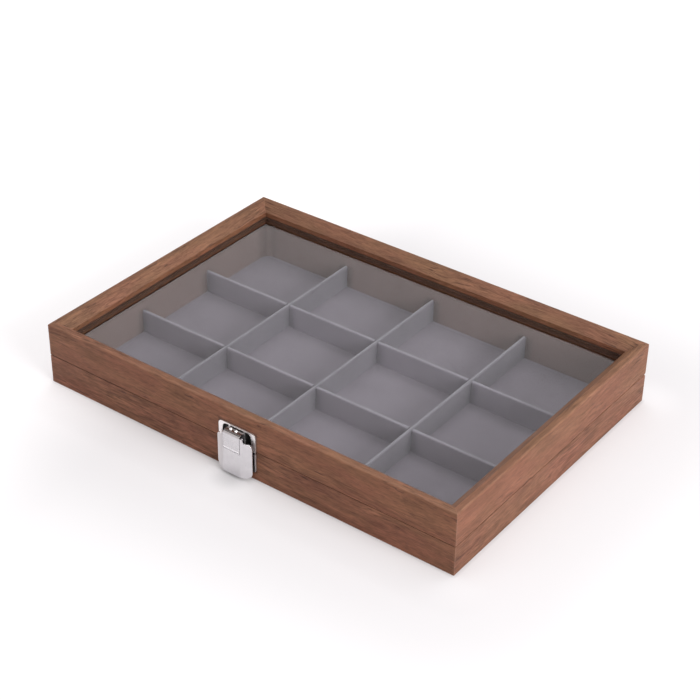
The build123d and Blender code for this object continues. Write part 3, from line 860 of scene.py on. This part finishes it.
def arcPoints(centre, radius, degrees):
    turns = [math.radians(angle) for angle in degrees]
    return [(centre[0] + radius * math.cos(turn), centre[1] + radius * math.sin(turn)) for turn in turns]


def finishMesh(name, mesh, material, sharpAngle):
    mesh.name = name
    mesh.shade_smooth()
    mesh.set_sharp_from_angle(angle=math.radians(sharpAngle))
    piece = bpy.data.objects.new(name, mesh)
    scene.collection.objects.link(piece)
    coat(piece, material)
    return piece


def makeEvenRow():
    # sets copies of a shape on a straight row of points, evenly spaced about the middle
    tree, source, sink = newGroup(
        "evenRow",
        [
            ("Geometry", "Geometry", None), ("Count", "Int", 3), ("Spacing", "Vector", (0.05, 0, 0)),
            ("Middle", "Vector", (0, 0, 0)), ("Material", "Material", None),
        ],
        [("Geometry", "Geometry")],
        kind="GeometryNodeTree",
    )
    back = mathNode(tree, "MULTIPLY", mathNode(tree, "SUBTRACT", source["Count"], 1), -0.5)
    start = vectorNode(tree, "ADD", scaleVector(tree, source["Spacing"], back), source["Middle"])
    row = addNode(tree, "GeometryNodeMeshLine", mode="OFFSET")
    feedAll(tree, row, {"Count": source["Count"], "Start Location": start, "Offset": source["Spacing"]})
    copies = addNode(tree, "GeometryNodeInstanceOnPoints")
    feedAll(tree, copies, {"Points": row.outputs[0], "Instance": source["Geometry"]})
    realised = addNode(tree, "GeometryNodeRealizeInstances")
    feed(tree, realised.inputs[0], copies.outputs[0])
    painted = addNode(tree, "GeometryNodeSetMaterial")
    feedAll(tree, painted, {"Geometry": realised.outputs[0], "Material": source["Material"]})
    feed(tree, sink.inputs[0], painted.outputs[0])
    return tree


evenRow = makeEvenRow()


def layRow(name, mesh, material, count, spacing, middle=(0, 0, 0), sharpAngle=50):
    # a row of copies as one plain mesh
    carrier = bpy.data.objects.new(name + "Carrier", mesh)
    scene.collection.objects.link(carrier)
    coat(carrier, material)
    modifier = carrier.modifiers.new("row", "NODES")
    modifier.node_group = evenRow
    values = {"Count": count, "Spacing": spacing, "Middle": middle, "Material": material}
    for item in evenRow.interface.items_tree:
        if item.name in values:
            modifier[item.identifier] = values[item.name]
    graph = bpy.context.evaluated_depsgraph_get()
    made = bpy.data.meshes.new_from_object(
        carrier.evaluated_get(graph), preserve_all_data_layers=True, depsgraph=graph,
    )
    bpy.data.objects.remove(carrier)
    return finishMesh(name, made, material, sharpAngle)


# velvet dividers
dividerShape = {
    "notchClear": 0.0001,      # play in the notches, to each side
    "halvingClear": 0.0002,    # and over or under the other board
    "endRound": 0.0003,        # how far the cover rounds the notches
    "topRadius": 0.0012,       # roll of the cover over the top edge
    "ripple": 0.00012,         # slackness of the cover on the board
    "rippleLength": 0.022,
    "rippleHeight": 0.012,
    "topWave": 0.6,            # how much of the ripple the top edge has
    "topWaveLength": 0.03,
    "insideSolid": 0.00005,    # how far the cover keeps inside the solid board, and at its top
    "underTop": 0.00008,
    "stillFoot": 0.002,
    "step": 0.004,
    "longSeed": 1.3,
    "crossSeed": 8.1,
    "topSeed": 3.7,
}


def boardSection(halfThickness, low, high, topRadius):
    # rounded at the top every 18 degrees, square at the foot, going round once
    sideTop = high - topRadius
    flat = halfThickness - topRadius
    heights = evenSteps(low, sideTop, 4)[1:]
    return [
        (-halfThickness, low), (halfThickness, low),
        *((halfThickness, height) for height in heights),
        *arcPoints((flat, sideTop), topRadius, range(18, 91, 18)),
        *arcPoints((-flat, sideTop), topRadius, range(90, 163, 18)),
        *((-halfThickness, height) for height in reversed(heights)),
    ]


def dividerStations(run, notches, levels, shape):
    # (place along the board, bottom, top) from one end to the other
    low, high, notchLow, notchHigh = levels
    marks = {-run: (low, high), run: (low, high)}
    for start, end in notches:
        marks[start] = marks[end] = (notchLow, notchHigh)
        marks[start - shape["endRound"]] = marks[end + shape["endRound"]] = (low, high)
    ordered = sorted((place, *span) for place, span in marks.items())
    filled = ordered[:1]
    for mark in ordered[1:]:
        last = filled[-1]
        if last[1:] == mark[1:]:
            parts = max(1, round((mark[0] - last[0]) / shape["step"]))
            filled += [(place, *mark[1:]) for place in evenSteps(last[0], mark[0], parts)[1:-1]]
        filled.append(mark)
    return filled


def dividerBoard(name, alongX, run, crossings, levels, seed):
    shape = dividerShape
    half = thickness / 2
    notchHalf = half + shape["notchClear"]
    notches = [(place - notchHalf, place + notchHalf) for place in crossings]
    rings = []
    for s, bottom, top in dividerStations(run, notches, levels, shape):
        topWave = noise.noise(Vector((s / shape["topWaveLength"], seed, shape["topSeed"])))
        lift = shape["topWave"] * shape["ripple"] * topWave
        ring = []
        for across, z in boardSection(half, bottom, top, shape["topRadius"]):
            spot = Vector((s / shape["rippleLength"], z / shape["rippleHeight"], seed))
            fullness = 1 + noise.noise(spot) * shape["ripple"] / half
            place = across * fullness - math.copysign(shape["insideSolid"], across)
            height = z + (lift - shape["underTop"] if z > bottom + shape["stillFoot"] else 0)
            ring.append((s, place, height) if alongX else (place, s, height))
        rings.append(ring)
    return loftRings(name, rings)


# a board's foot and top, and the same within its notches
halving, halvingClear = (floorTop + dividerTop) / 2, dividerShape["halvingClear"]
longLevels = (floorTop, dividerTop, floorTop, halving - halvingClear)
crossLevels = (floorTop, dividerTop, halving + halvingClear, dividerTop)
longBoard = dividerBoard(
    "longBoard", True, longHigh.x, crossPlaces, longLevels, dividerShape["longSeed"],
)
crossBoard = dividerBoard(
    "crossBoard", False, crossHigh.y, longPlaces, crossLevels, dividerShape["crossSeed"],
)
longDividers = layRow("longDividers", longBoard, longVelvet, 2, (0, longStep, 0))
crossDividers = layRow("crossDividers", crossBoard, crossVelvet, 3, (crossStep, 0, 0))
for piece, replaced in (
    (longDividers, ("long_divider_1", "long_divider_2")),
    (crossDividers, ("cross_divider_1", "cross_divider_2", "cross_divider_3")),
):
    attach(piece, "base")
    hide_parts(*replaced)
print("dividers are covered")


# velvet walls
wallShape = {
    "topRadius": 0.0008,
    "cove": 0.0085,           # radius of the lining's upright corners
    "coveSteps": 10,
    "ripple": 0.00010,
    "rippleLength": 0.035,
    "rippleHeight": 0.02,
    "calmEnd": 0.012,         # the ripple dies out towards the corners
    "step": 0.005,
    "sideSteps": 8,
    "seeds": {"front": 24.0, "rear": 34.0, "left": 15.0, "right": 25.0},
}


def liningStations(half, deep, shape):
    # (place along the inner face, how deep the lining is there) from corner to corner
    radius, steps = shape["cove"], shape["coveSteps"]
    corner = []
    for i in range(steps, 0, -1):
        angle = math.radians(45 * i / steps)
        gap = radius - radius * math.sin(angle)
        corner.append((half - deep - gap, deep + radius - radius * math.cos(angle)))
    flat = half - deep - radius
    count = round(2 * flat / shape["step"])
    middle = [(place, deep) for place in evenSteps(-flat, flat, count)]
    return [(-place, depth) for place, depth in corner] + middle + corner[::-1]


def liningSection(deep, low, high, shape):
    # (inset from the outer face, height), up the inner face and over the top
    radius = shape["topRadius"]
    crest = high - radius
    return [
        (0.0, low), (deep, low),
        *((deep, height) for height in evenSteps(low, crest, shape["sideSteps"])[1:-1]),
        *arcPoints((deep - radius, crest), radius, (0, 22, 45, 68, 90)),
        *arcPoints((radius, crest), radius, (90, 135, 180)),
    ]


def wallLining(side):
    shape = wallShape
    low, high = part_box(f"{side}_wall_lining")
    alongX = side in ("front", "rear")
    sign = 1 if side in ("rear", "right") else -1
    half, near, far = (high.x, low.y, high.y) if alongX else (high.y, low.x, high.x)
    outer, inner = (far, near) if sign > 0 else (-near, -far)
    deep = outer - inner
    stations = liningStations(half, deep, shape)
    endPlace = stations[-1][0]
    seed = shape["seeds"][side]
    rings = []
    for along, depth in stations:
        calm = min(1.0, (endPlace - abs(along)) / shape["calmEnd"])
        ring = []
        for inset, z in liningSection(deep, low.z, high.z, shape):
            inward = inset / deep
            s = along * (inward + (1 - inward) * half / endPlace)
            wave = noise.noise(Vector((s / shape["rippleLength"], z / shape["rippleHeight"], seed)))
            push = wave * shape["ripple"] * calm if inward > 0.5 else 0
            place = sign * (outer - inward * depth + push)
            ring.append((s, place, z) if alongX else (place, s, z))
        rings.append(ring)
    name = f"{side}WallCover"
    piece = finishMesh(name, loftRings(name, rings), wallVelvets[side], 50)
    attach(piece, "base")
    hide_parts(f"{side}_wall_lining")


for side in veneerShifts:
    wallLining(side)
print("walls are lined")


# velvet floor
floorShape = {
    "coveHeight": 0.0003,      # how far the cloth climbs where it meets an upright face
    "coveReach": 0.0018,
    "coveCurve": 2.4,
    "dents": 0.00010,
    "dentLength": 0.02,
    "dentSeed": 5.5,
    "flatStep": 0.004,
    "edgeSteps": (0.0, 0.00025, 0.0005, 0.0008, 0.0012, 0.0017, 0.0024, 0.0036),
    "underTop": 0.0001,        # how far the cloth keeps under the solid pad's top
    "faceClear": 0.00002,      # and from the upright faces
    "tuck": 0.00001,
}


def bayStations(start, end):
    # places across one bay: close together beside each upright face, wide apart between
    near = [start + step for step in floorShape["edgeSteps"]]
    far = [end - step for step in reversed(floorShape["edgeSteps"])]
    count = max(1, round((far[0] - near[-1]) / floorShape["flatStep"]))
    return near[:-1] + evenSteps(near[-1], far[0], count) + far[1:]


def floorRow(wall, boards, first, last):
    # every station with the bay that it lies in, and None under a board or lining
    half = thickness / 2 + floorShape["faceClear"]
    lines = [-wall + half, *boards, wall - half]
    marks = [(first, None)]
    for start, end in zip(lines, lines[1:]):
        bay = bayStations(start + half, end - half)
        marks.append((bay[0] - floorShape["tuck"], None))
        marks += [(place, bay) for place in bay]
        marks.append((bay[-1] + floorShape["tuck"], None))
    return marks + [(last, None)]


def velvetFloor():
    shape = floorShape
    low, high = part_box("floor_pad")

    def climb(place, bay):
        share = 1 - min(place - bay[0], bay[-1] - place) / shape["coveReach"]
        return shape["coveHeight"] * max(0.0, share) ** shape["coveCurve"]

    def level(x, y, bayX, bayY):
        z = high.z - shape["underTop"]
        if bayX and bayY:
            z += max(climb(x, bayX), climb(y, bayY))
            spot = Vector((x / shape["dentLength"], y / shape["dentLength"], shape["dentSeed"]))
            z += shape["dents"] * noise.noise(spot)
        return z

    made = bmesh.new()
    across = floorRow(wallX, crossPlaces, low.x, high.x)
    top = [
        [made.verts.new((x, y, level(x, y, bayX, bayY))) for x, bayX in across]
        for y, bayY in floorRow(wallY, longPlaces, low.y, high.y)
    ]
    for lower, upper in zip(top, top[1:]):
        for i in range(len(lower) - 1):
            made.faces.new((lower[i], lower[i + 1], upper[i + 1], upper[i]))
    rightEdge = [line[-1] for line in top[1:-1]]
    leftEdge = [line[0] for line in top[1:-1]]
    border = top[0] + rightEdge + top[-1][::-1] + leftEdge[::-1]
    foot = [made.verts.new((v.co.x, v.co.y, low.z)) for v in border]
    bandFaces(made, border, foot)
    made.faces.new(foot)
    piece = finishMesh("velvetFloor", meshFrom(made, "velvetFloor"), floorVelvet, 60)
    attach(piece, "base")
    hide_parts("floor_pad")


velvetFloor()
print("floor is padded")


# hinge screws
screwShape = {
    "headRadius": 0.0016,
    "headRound": 0.00008,
    "shankRadius": 0.0009,
    "shankTaper": 0.9,
    "length": 0.007,
    "tipLength": 0.0006,
    "tipRadius": 0.0002,
    "slotLength": 0.0021,
    "slotWidth": 0.0004,
    "slotDepth": 0.00035,
    "slotTaper": 0.8,
    "sides": 32,
    "spacing": 0.018,
}


def screwMesh(name, upward):
    # countersunk head with a cross recess, standing head up or head down at the origin
    shape = screwShape
    made = bmesh.new()
    head, shank, sides = shape["headRadius"], shape["shankRadius"], shape["sides"]
    rings = [
        [made.verts.new(point) for point in circlePoints(radius, height, sides)]
        for radius, height in (
            (head - shape["headRound"], 0.0), (head, -shape["headRound"]), (shank, shank - head),
            (shank * shape["shankTaper"], shape["tipLength"] - shape["length"]),
            (shape["tipRadius"], -shape["length"]),
        )
    ]
    for upper, lower in zip(rings, rings[1:]):
        bandFaces(made, upper, lower)
    made.faces.new(list(reversed(rings[-1])))

    half, wide = shape["slotLength"] / 2, shape["slotWidth"] / 2
    arm = [Vector(point) for point in ((half, -wide), (half, wide), (wide, wide))]
    quarterTurns = [Matrix.Rotation(math.radians(angle), 2) for angle in (0, 90, 180, 270)]
    outline = [turn @ point for turn in quarterTurns for point in arm]
    taper = shape["slotTaper"]
    lip = [made.verts.new((x, y, 0.0)) for x, y in outline]
    pit = [made.verts.new((x * taper, y * taper, -shape["slotDepth"])) for x, y in outline]
    edges = [made.edges.new((lip[k - 1], lip[k])) for k in range(len(lip))]
    edges += [made.edges.get((rings[0][k - 1], rings[0][k])) for k in range(sides)]
    bmesh.ops.triangle_fill(made, use_beauty=True, use_dissolve=False, edges=edges)
    inside = [face for face in made.faces if all(vertex in lip for vertex in face.verts)]
    bmesh.ops.delete(made, geom=inside, context="FACES_ONLY")
    bandFaces(made, lip, pit)
    made.faces.new(pit)
    if not upward:
        bmesh.ops.rotate(made, verts=made.verts, cent=(0, 0, 0), matrix=Matrix.Rotation(math.pi, 3, "X"))
    return meshFrom(made, name)


def hingeScrews(node, body, upward):
    low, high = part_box(node)
    rim = high.z if upward else low.z
    farX = high.x - screwShape["headRadius"]
    nearX = farX - screwShape["spacing"]
    # one hinge's pair first, then the row of two pairs
    pair = layRow(node + "Pair", screwMesh(node + "Mesh", upward), steel, 2, (screwShape["spacing"], 0, 0))
    middle = (0, (low.y + high.y) / 2, rim)
    row = layRow(node + "Row", pair.data.copy(), steel, 2, (farX + nearX, 0, 0), middle, 30)
    bpy.data.objects.remove(pair)
    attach(row, body)
    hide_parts(node)


hingeScrews("hinge_base_screws", "base", True)
hingeScrews("hinge_lid_screws", "lid", False)
print("hinge screws are driven")


# latch details
lipShape = {
    "halfWidth": 0.0073,        # stays inside the lever's slot
    "front": -0.1295,
    "foot": 0.0208,
    "top": 0.0216,
    "eye": (-0.1279, 0.0227),   # the claw turns about this line
    "eyeClear": 0.0017,
    "eyeEnd": 260,              # where the lip's round face ends under the eye, in degrees
    "steps": 6,
    "roundSteps": 4,
    "sideSteps": 4,
    "sideTop": 0.0341,
    "sideDepth": 0.0009,
    "sideOut": 0.00008,         # the turned-in side, out and in from the lip's end
    "sideIn": 0.0002,
}
pipShape = {
    "radius": 0.00125,
    "height": 0.0011,
    "spacing": 0.0046,
    "middle": (-0.0010, -0.12556, 0.0363),
    "rings": 6,
    "sides": 24,
}


def slotLip():
    # the lever's slot turns up in a small lip under the claw, and down its left side
    shape = lipShape
    half, front, foot, top = shape["halfWidth"], shape["front"], shape["foot"], shape["top"]
    start = 180 + math.degrees(math.asin((shape["eye"][1] - top) / shape["eyeClear"]))
    turns = evenSteps(start, shape["eyeEnd"], shape["roundSteps"])
    underEye = arcPoints(shape["eye"], shape["eyeClear"], turns)
    section = [(front, foot), (front, top), *underEye, (underEye[-1][0], foot)]
    lipRings = [[(x, *point) for point in section] for x in evenSteps(-half, half, shape["steps"])]

    outer, inner, back = -half - shape["sideOut"], -half + shape["sideIn"], front + shape["sideDepth"]
    corners = ((outer, front), (inner, front), (inner, back), (outer, back))
    heights = evenSteps(top, shape["sideTop"], shape["sideSteps"])
    sideRings = [[(*corner, z) for corner in corners] for z in heights]
    for name, rings in (("slotLip", lipRings), ("slotSide", sideRings)):
        piece = finishMesh(name, loftRings(name, rings), plated, 40)
        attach(piece, "latch_lever")


def clawPips():
    # two pressed pips near the tip of the claw
    shape = pipShape
    made = bmesh.new()
    rows = []
    for i in range(shape["rings"]):
        climb = math.pi / 2 * i / shape["rings"]
        radius, height = shape["radius"] * math.cos(climb), shape["height"] * math.sin(climb)
        rows.append([made.verts.new(point) for point in circlePoints(radius, height, shape["sides"])])
    for lower, upper in zip(rows, rows[1:]):
        bandFaces(made, lower, upper)
    crown = made.verts.new((0, 0, shape["height"]))
    for k in range(shape["sides"]):
        made.faces.new((rows[-1][k - 1], rows[-1][k], crown))
    made.faces.new(list(reversed(rows[0])))
    pip = meshFrom(made, "clawPip")
    pips = layRow("clawPips", pip, pipPlated, 2, (shape["spacing"], 0, 0), shape["middle"], 60)
    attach(pips, "latch_claw")


slotLip()
clawPips()
print("latch details are in place")


# stage
stageLook = {
    "floorColour": (0.64, 0.620, 0.632, 1),
    # a pinkish tint near the case: the painted colour of its shadow
    "nearShadowTint": (1.0, 0.980, 0.992, 1),
    "tintReach": 0.08,
    "halfSize": 4.0,
    # extra brightness at the case that only the eye, metal and glass see
    "near": 0.15,
    # painted shadow round the case: distances from the case over which the extra brightness changes, and by
    # how much
    "shadowRamps": ((0.0008, 0.0030, 0.08), (0.004, 0.035, -0.09), (0.045, 0.15, 0.14), (0.2, 1.4, 0.45)),
    # painted light along the floor to the left: where it starts and ends, and its strength
    "leftGlow": (-0.08, -0.20, 0.22),
    # soft shade on the floor under the latch: its middle, inner and outer reach, and strength
    "latchShade": ((0.0, -0.1305, 0.0), 0.001, 0.019, -0.19),
}


def rectangle(halfWide, halfHigh):
    return [
        Vector((x * halfWide, y * halfHigh, 0)) for x, y in ((-1, -1), (1, -1), (1, 1), (-1, 1))
    ]


def flatSheet(name, corners, material):
    mesh = bpy.data.meshes.new(name)
    mesh.from_pydata(corners, [], [(0, 1, 2, 3)])
    sheet = bpy.data.objects.new(name, mesh)
    scene.collection.objects.link(sheet)
    coat(sheet, material)
    return sheet


def makeFloorMaterial(look):
    material, tree, shader, coordinates = newMaterial("studioFloor")
    feedAll(tree, shader, {
        "Base Color": look["floorColour"], "Roughness": 0.9, "Specular IOR Level": 0.0,
    })
    parts = splitVector(tree, coordinates)
    squares = []
    for axis, half in (("X", halfLength), ("Y", halfWidth)):
        beyond = mathNode(tree, "SUBTRACT", mathNode(tree, "ABSOLUTE", parts[axis]), half)
        beyond = mathNode(tree, "MAXIMUM", beyond, 0.0)
        squares.append(mathNode(tree, "MULTIPLY", beyond, beyond))
    away = mathNode(tree, "SQRT", mathNode(tree, "ADD", *squares))
    # painted shadow and light: the extra brightness changes with the distance from the case, to the left and
    # under the latch
    lift = look["near"]
    for start, end, change in look["shadowRamps"]:
        lift = mathNode(tree, "ADD", smoothRange(tree, away, start, end, 0.0, change), lift)
    start, end, change = look["leftGlow"]
    lift = mathNode(tree, "ADD", smoothRange(tree, parts["X"], start, end, 0.0, change), lift)
    middle, start, end, change = look["latchShade"]
    fromLatch = vectorNode(tree, "DISTANCE", coordinates, middle, output="Value")
    lift = mathNode(tree, "ADD", smoothRange(tree, fromLatch, start, end, change, 0.0), lift)
    tint = mixColour(tree, rangeNode(tree, away, 0.0, look["tintReach"]), look["nearShadowTint"], (1, 1, 1, 1))
    glow = addNode(tree, "ShaderNodeEmission")
    feedAll(tree, glow, {"Color": tint, "Strength": mathNode(tree, "MULTIPLY", seenMask(tree), lift)})
    both = addNode(tree, "ShaderNodeAddShader")
    feedInOrder(tree, both, (shader.outputs[0], glow.outputs[0]))
    feed(tree, tree.nodes["Material Output"].inputs["Surface"], both.outputs[0])
    return material


flatSheet(
    "studioFloorSheet", rectangle(stageLook["halfSize"], stageLook["halfSize"]), makeFloorMaterial(stageLook),
)


# lamps
lamps = {
    "sideLamp": {
        "place": (1.50, -0.30, 0.72), "size": (0.9, 0.6), "power": 19.4, "colour": (0.985, 1.0, 0.995),
    },
    "fillLamp": {
        "place": (-0.6, -1.3, 0.9), "size": (1.2, 1.0), "power": 2.6, "colour": (1.0, 0.94, 0.91),
    },
    "topLamp": {
        "place": (0.0, 0.30, 1.60), "size": (1.6, 1.4), "power": 16.2, "colour": (1.0, 1.0, 1.0),
    },
}
lampAim = Vector((0, 0, 0.02))


def makeLamp(name, setup):
    data = bpy.data.lights.new(name, "AREA")
    data.shape = "RECTANGLE"
    data.size, data.size_y = setup["size"]
    data.energy = setup["power"]
    data.color = setup["colour"]
    lamp = bpy.data.objects.new(name, data)
    scene.collection.objects.link(lamp)
    place = Vector(setup["place"])
    turn = (lampAim - place).to_track_quat("-Z", "Y").to_matrix()
    lamp.matrix_world = Matrix.Translation(place) @ turn.to_4x4()


for name, setup in lamps.items():
    makeLamp(name, setup)


# world
worldLook = {"ambient": 0.45, "seen": 1.0}


def makeWorld(look):
    world = bpy.data.worlds.new("studioWorld")
    world.use_nodes = True
    tree = world.node_tree
    sky = tree.nodes["Background"]
    strength = rangeNode(tree, seenMask(tree), 0.0, 1.0, look["ambient"], look["seen"])
    feedAll(tree, sky, {"Color": (1, 1, 1, 1), "Strength": strength})
    scene.world = world


makeWorld(worldLook)


# painted reflections: glowing cards, dark in the middle and white towards the rim, that only polished
# surfaces see; one keeps glare off the glass, one darkens the claw's roll
cardLooks = {
    "glassCard": {
        "middle": (-0.62, 0.84, 0.73), "aim": (0, 0, 0), "size": (2.0, 1.5), "solid": 0.62, "dark": 0.02,
    },
    "latchCard": {
        "middle": (-0.74, -0.43, 1.30), "aim": (0, -0.127, 0.036), "size": (2.1, 1.9), "solid": 0.25,
        "dark": 0.22,
    },
}


def makeCard(name, look):
    middle = Vector(look["middle"])
    turn = (Vector(look["aim"]) - middle).to_track_quat("-Z", "Y").to_matrix()
    halfWide, halfHigh = look["size"][0] / 2, look["size"][1] / 2
    material, tree, shader, coordinates = newMaterial(name)
    local = addNode(tree, "ShaderNodeMapping", vector_type="TEXTURE")
    feedAll(tree, local, {
        "Vector": coordinates, "Location": middle, "Rotation": turn.to_euler(),
        "Scale": (halfWide, halfHigh, 1),
    })
    away = vectorNode(tree, "LENGTH", local.outputs[0], output="Value")
    feedAll(tree, shader, {
        "Base Color": (0, 0, 0, 1), "Roughness": 1, "Specular IOR Level": 0, "Emission Strength": 1,
        "Emission Color": smoothRange(tree, away, look["solid"], 1.0, look["dark"], 1.0),
    })
    corners = [middle + turn @ corner for corner in rectangle(halfWide, halfHigh)]
    card = flatSheet(name, corners, material)
    card.visible_camera = False
    card.visible_diffuse = False
    card.visible_shadow = False
    card.visible_transmission = False


for name, look in cardLooks.items():
    makeCard(name, look)
scene.view_settings.view_transform = "Standard"
print("studio is lit")


# node trees are set out in columns for whoever opens them
columnWidth, rowHeight = 240, 190


def arrangeNodes(tree):
    column = {node.name: 0 for node in tree.nodes}
    moved = True
    while moved:
        moved = False
        for link in tree.links:
            least = column[link.from_node.name] + 1
            if column[link.to_node.name] < least:
                column[link.to_node.name] = least
                moved = True
    filled = dict.fromkeys(column.values(), 0)
    for name, place in column.items():
        tree.nodes[name].location = (columnWidth * place, -rowHeight * filled[place])
        filled[place] += 1


for tree in (woodGrain, caseEdges, velvetPile, plateFinish, evenRow, scene.world.node_tree):
    arrangeNodes(tree)
for material in bpy.data.materials:
    if material.use_nodes:
        arrangeNodes(material.node_tree)
print("nodes are set out")
